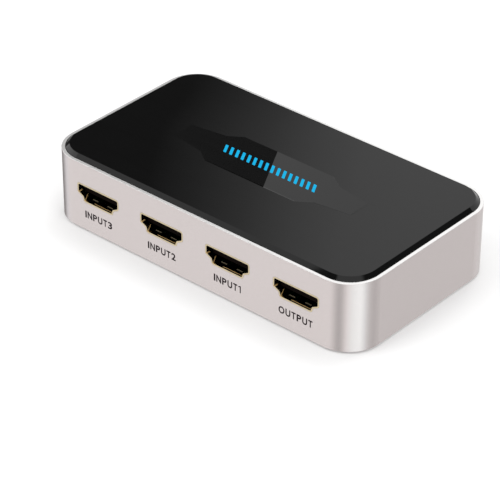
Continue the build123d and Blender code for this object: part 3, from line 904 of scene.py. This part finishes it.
@dataclass
class Marks:
    """Generic printed marks: plain words and numbers under the sockets and under the lamps.

    The letters' widths and gap are shares of their height.
    """

    cap_height: float = 2.1 * MM
    thickness: float = 0.012 * MM
    weld: float = 0.001 * MM
    socket_mark_z: float = 5.53 * MM
    lamp_mark_height: float = 1.7 * MM
    lamp_mark_gap: float = 3.0 * MM
    weight: float = 0.028
    curve_steps: int = 6
    half_depth: float = 0.5
    letter_gap: float = 0.157
    letter_widths: dict[str, float] = field(default_factory=lambda: {
        "I": 0.238, "N": 0.78, "P": 0.7, "U": 0.757, "T": 0.652, "O": 0.914,
        "1": 0.4, "2": 0.7, "3": 0.7,
    })
    one_outline: tuple[Span, ...] = (
        (0.6, -0.5), (1.0, -0.5), (1.0, 0.5), (0.66, 0.5), (0.0, 0.36), (0.0, 0.22), (0.6, 0.32),
    )

    def figure_one(self) -> bpy.types.Mesh:
        """Make a figure one with a flag, for which the built-in font has only a bar.

        Returns:
            Its mesh, like a letter's.
        """
        mesh = bmesh.new()
        width = self.letter_widths["1"]
        corners = [mesh.verts.new((x * width, y, -self.half_depth)) for x, y in self.one_outline]
        shape = bmesh.ops.extrude_face_region(mesh, geom=[mesh.faces.new(corners)])
        lifted = [item for item in shape["geom"] if isinstance(item, bmesh.types.BMVert)]
        bmesh.ops.translate(mesh, verts=lifted, vec=(0, 0, 2 * self.half_depth))
        bmesh.ops.recalc_face_normals(mesh, faces=mesh.faces)
        data = bpy.data.meshes.new("figure_one")
        mesh.to_mesh(data)
        mesh.free()
        return data

    def letter(self, sign: str) -> bpy.types.Mesh:
        """Make one letter or figure from the built-in font.

        Args:
            sign: the letter.

        Returns:
            Its mesh, 1 high and as wide as its entry, from x = 0 and centred in height.
        """
        if sign == "1":
            return self.figure_one()
        curve = bpy.data.curves.new(f"letter_{sign}", "FONT")
        curve.body = sign
        curve.resolution_u = self.curve_steps
        curve.offset = self.weight
        curve.extrude = self.half_depth
        holder = bpy.data.objects.new(curve.name, curve)
        data = bpy.data.meshes.new_from_object(holder)
        bpy.data.objects.remove(holder)
        xs = [vertex.co.x for vertex in data.vertices]
        ys = [vertex.co.y for vertex in data.vertices]
        size = (self.letter_widths[sign] / (max(xs) - min(xs)), 1 / (max(ys) - min(ys)), 1, 1)
        to_start = Matrix.Translation((-min(xs), -(max(ys) + min(ys)) / 2, 0))
        data.transform(Matrix.Diagonal(size) @ to_start)
        return data

    def print_mark(self, name: str, words: str, place: Span, facing: Facing, height: float) -> None:
        """Print words on a face.

        Args:
            name: the piece's name.
            words: the text.
            place: its x and z.
            facing: the face.
            height: its letters' height.
        """
        mesh = bmesh.new()
        reach = 0.0
        for sign in words:
            letter = self.letter(sign)
            letter.transform(Matrix.Translation((reach, 0, 0)))
            mesh.from_mesh(letter)
            reach += self.letter_widths[sign] + self.letter_gap
        low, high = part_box("side_frame")
        y = high.y if facing.sign > 0 else low.y
        turn = Matrix.Rotation(facing.turn, 4, "Z") @ Matrix.Rotation(math.pi / 2, 4, "X")
        size = Matrix.Diagonal((height, height, self.thickness, 1))
        middle = Matrix.Translation(((self.letter_gap - reach) / 2, 0, 0))
        onto_face = Matrix.Translation((place[0], y, place[1])) @ turn @ size @ middle
        bmesh.ops.transform(mesh, verts=mesh.verts, matrix=onto_face)
        bmesh.ops.remove_doubles(mesh, verts=mesh.verts, dist=self.weld)
        finished_piece(name, mesh, Slot.PRINT_DARK, "case")

    def build(self) -> None:
        """Print every mark."""
        names = {"input_3": "INPUT3", "input_2": "INPUT2", "input_1": "INPUT1", "output": "OUTPUT"}
        for socket, words in names.items():
            low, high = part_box(f"{socket}_shell")
            place = ((low.x + high.x) / 2, self.socket_mark_z)
            self.print_mark(f"{socket}_mark", words, place, Facing.SOCKETS, self.cap_height)
        low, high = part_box("input_lamps")
        centre_z = (low.z + high.z) / 2
        radius = (high.z - low.z) / 2
        pitch = (high.x - low.x - 2 * radius) / 2
        for number in (1, 2, 3):
            name = f"lamp_mark_{number}"
            place = (high.x - radius - (number - 1) * pitch, centre_z - self.lamp_mark_gap)
            self.print_mark(name, str(number), place, Facing.FRONT, self.lamp_mark_height)


@dataclass
class PhotoCamera:
    """The camera at the photograph's place, turned about a target from -Y towards +X."""

    azimuth: float = math.radians(40.962)
    elevation: float = math.radians(33.03)
    roll: float = math.radians(0.224)
    distance: float = 664.153 * MM
    target: Vector = field(default_factory=lambda: Vector((-6.416, 0.0, -6.204)) * MM)
    lens: float = 180.2
    sensor: float = 36.0
    nearest: float = 10.0 * MM

    def build(self) -> None:
        """Make the camera and use it."""
        back = direction(self.azimuth - math.pi / 2, self.elevation)
        data = bpy.data.cameras.new("photo_camera")
        data.lens = self.lens
        data.sensor_width = self.sensor
        data.clip_start = self.nearest
        camera = bpy.data.objects.new("photo_camera", data)
        bpy.context.scene.collection.objects.link(camera)
        camera.location = self.target + back * self.distance
        aim = (-back).to_track_quat("-Z", "Y")
        camera.rotation_mode = "QUATERNION"
        camera.rotation_quaternion = aim @ Quaternion((0, 0, 1), self.roll)
        bpy.context.scene.camera = camera
        LOG.info("camera at %s", tuple(round(value, 4) for value in camera.location))


@dataclass(frozen=True)
class SoftBox:
    """A square studio lamp that looks at the box and stays out of its reflections."""

    name: str
    azimuth: float
    elevation: float
    distance: float
    size: float
    power: float

    def build(self) -> None:
        """Make the lamp."""
        data = bpy.data.lights.new(self.name, "AREA")
        data.shape = "SQUARE"
        data.size = self.size
        data.energy = self.power
        lamp = bpy.data.objects.new(self.name, data)
        bpy.context.scene.collection.objects.link(lamp)
        towards = direction(math.radians(self.azimuth), math.radians(self.elevation))
        lamp.location = towards * self.distance
        lamp.rotation_mode = "QUATERNION"
        lamp.rotation_quaternion = (-towards).to_track_quat("-Z", "Y")
        lamp.visible_glossy = False


@dataclass
class Studio:
    """A pale floor and a soft surround of white and dark screens, seen only in reflections."""

    floor_size: float = 4.0
    floor_cells: int = 8
    floor_colour: Colour = grey(0.77)
    floor_glow: float = 0.03
    ambient: Colour = grey(0.7)
    overhead: Colour = grey(1.2)
    overhead_height: Span = (0.3, 0.95)
    lean: float = 0.333
    lean_height: float = math.radians(31.0)
    far_turn: float = math.radians(0.55)
    far_height: Span = (0.486, 0.507)
    flag_shade: Colour = grey(0.1)
    flag_height: Span = (0.25, 0.4)
    flags: tuple[tuple[float, ...], ...] = (
        (-137.56, -137.5, -114.0, -104.0),
        (-12.0, 10.0, 54.0, 62.0),
    )
    horizon: Span = (-0.22, -0.1)
    zenith: Span = (0.88, 0.93)
    zenith_shade: Colour = grey(0.76)

    def build_floor(self) -> None:
        """Make the floor, which stays white to the camera and keeps its shadows."""
        mesh = bmesh.new()
        cells = self.floor_cells
        bmesh.ops.create_grid(mesh, x_segments=cells, y_segments=cells, size=self.floor_size / 2)
        data = bpy.data.meshes.new("floor")
        mesh.to_mesh(data)
        mesh.free()
        floor = bpy.data.objects.new("floor", data)
        floor.visible_glossy = False
        bpy.context.scene.collection.objects.link(floor)
        material = bpy.data.materials.new("floor")
        material.use_nodes = True
        graph = Graph(material.node_tree)
        output = graph.node("ShaderNodeOutputMaterial")
        diffuse = graph.node("ShaderNodeBsdfDiffuse")
        graph.fill(diffuse.inputs["Color"], self.floor_colour)
        glow = graph.node("ShaderNodeEmission")
        path = graph.node("ShaderNodeLightPath").outputs
        seen = graph.math("MAXIMUM", path["Is Camera Ray"], path["Is Transmission Ray"])
        graph.join(graph.product(seen, self.floor_glow), glow.inputs["Strength"])
        added = graph.node("ShaderNodeAddShader")
        graph.join(diffuse.outputs[0], added.inputs[0])
        graph.join(glow.outputs[0], added.inputs[1])
        graph.join(added.outputs[0], output.inputs["Surface"])
        data.materials.append(material)

    def high_screens(self) -> Stops:
        """List the screens over the horizon.

        Returns:
            Their compass angles, in degrees from +X towards +Y, and their light.
        """
        return [
            (-180.0, grey(1.0)),
            (-160.0, grey(1.4)),
            (-148.0, grey(1.3)),
            (-142.0, grey(0.8)),
            (-104.0, grey(0.85)),
            (-16.0, grey(0.85)),
            (62.0, grey(0.8)),
            (126.0, grey(0.75)),
            (128.4, grey(0.67)),
            (129.3, grey(0.54)),
            (131.0, grey(0.29)),
            (133.4, grey(0.06)),
            (177.0, grey(0.06)),
            (180.0, grey(1.0)),
        ]

    def low_screens(self) -> Stops:
        """List the screens under the horizon, which the walls reflect.

        Returns:
            Their angles and their light, as for the high ones.
        """
        cool = (0.92, 1.0, 1.01)
        return [
            (-180.0, (0.6, 0.62, 0.64)),
            (-170.0, (0.9, 0.93, 0.97)),
            (-152.0, grey(1.0)),
            (-138.0, grey(0.96)),
            (-104.0, grey(1.01)),
            (-91.0, grey(0.7)),
            (-78.0, grey(0.43)),
            (-67.0, grey(0.66)),
            (-55.0, grey(1.1)),
            (-40.0, shade(cool, 1.31, 2.0)),
            (-14.0, shade(cool, 1.55, 2.0)),
            (0.0, shade(cool, 1.06, 2.0)),
            (14.0, grey(0.65)),
            (30.0, grey(0.54)),
            (44.0, grey(0.66)),
            (58.0, grey(0.79)),
            (78.0, grey(0.86)),
            (96.0, grey(0.66)),
            (116.0, grey(1.15)),
            (134.0, grey(1.15)),
            (148.0, grey(0.34)),
            (162.0, grey(0.1)),
            (174.0, grey(0.4)),
            (180.0, (0.6, 0.62, 0.64)),
        ]

    def screens(self, graph: Graph, angle: Socket, rows: Stops) -> Socket:
        """Turn a row of screens into a colour.

        Args:
            graph: the world's graph.
            angle: the compass angle, in radians.
            rows: the screens' angles in degrees, and their light.

        Returns:
            The light from that direction.
        """
        turn = graph.math("MULTIPLY_ADD", angle, 1 / (2 * math.pi), 0.5)
        return graph.ramp(turn, [((degrees + 180) / 360, light) for degrees, light in rows])

    def flag(self, graph: Graph, angle: Socket, edges: tuple[float, ...]) -> Socket:
        """Place one dark flag among the high screens.

        Args:
            graph: the world's graph.
            angle: the leaned compass angle, in radians.
            edges: where the flag starts, is full, starts to fade and ends, in degrees.

        Returns:
            1 behind the flag and 0 beside it.
        """
        start, full, fading, end = (math.radians(edge) for edge in edges)
        return graph.math("SUBTRACT", graph.step(angle, start, full), graph.step(angle, fading, end))

    def reflections(self, graph: Graph, ray: Socket) -> Socket:
        """Make what glossy surfaces reflect: leaning high screens with flags, and low screens.

        Args:
            graph: the world's graph.
            ray: the direction that a ray leaves in.

        Returns:
            The light from that direction.
        """
        x, y, height = (graph.coordinate(ray, axis) for axis in "XYZ")
        angle = graph.math("ARCTAN2", y, x)
        elevation = graph.math("ARCSINE", height)
        lift = graph.math("MULTIPLY_ADD", elevation, -self.lean, self.lean * self.lean_height)
        near = graph.step(height, *self.far_height)
        far = graph.math("MULTIPLY_ADD", near, -self.far_turn, self.far_turn)
        leaned = graph.math("ADD", graph.math("ADD", angle, lift), far)
        flags = graph.math("ADD", *(self.flag(graph, leaned, edges) for edges in self.flags))
        flagged = graph.product(flags, graph.step(height, *self.flag_height))
        high = graph.mix(flagged, self.screens(graph, leaned, self.high_screens()), self.flag_shade)
        high = graph.mix(graph.step(height, *self.zenith), high, self.zenith_shade)
        low = self.screens(graph, angle, self.low_screens())
        return graph.mix(graph.step(height, *self.horizon), low, high)

    def build_world(self) -> None:
        """Make the world: even light, a white background and the screens in reflections."""
        world = bpy.data.worlds.new("studio")
        world.use_nodes = True
        world.cycles.sampling_method = "NONE"
        bpy.context.scene.world = world
        graph = Graph(world.node_tree)
        output = graph.node("ShaderNodeOutputWorld")
        background = graph.node("ShaderNodeBackground")
        ray = graph.node("ShaderNodeTexCoord").outputs["Generated"]
        path = graph.node("ShaderNodeLightPath").outputs
        glossy = graph.math("MAXIMUM", path["Is Glossy Ray"], path["Is Transmission Ray"])
        overhead = graph.step(graph.coordinate(ray, "Z"), *self.overhead_height)
        even = graph.mix(overhead, self.ambient, self.overhead)
        light = graph.mix(glossy, even, self.reflections(graph, ray))
        seen = graph.mix(path["Is Camera Ray"], light, grey(1.0))
        graph.join(seen, background.inputs["Color"])
        graph.join(background.outputs[0], output.inputs["Surface"])

    def build(self) -> None:
        """Make the floor, the world and the lamps."""
        self.build_floor()
        self.build_world()
        lamps = [
            SoftBox("key", azimuth=-118.0, elevation=42.0, distance=1.1, size=0.7, power=4.0),
            SoftBox("fill", azimuth=-10.0, elevation=35.0, distance=1.3, size=0.8, power=4.6),
            SoftBox("top", azimuth=90.0, elevation=62.0, distance=1.2, size=0.6, power=3.4),
        ]
        for lamp in lamps:
            lamp.build()
        bpy.context.scene.view_settings.view_transform = "Standard"


def main() -> None:
    """Build the looks in order."""
    logging.basicConfig(level=logging.INFO, format="%(name)s: %(message)s")
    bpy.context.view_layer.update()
    PhotoCamera().build()
    CarriedNodes().dress()
    Emblem().build()
    Marks().build()
    Studio().build()


if __name__ == "__main__":
    main()
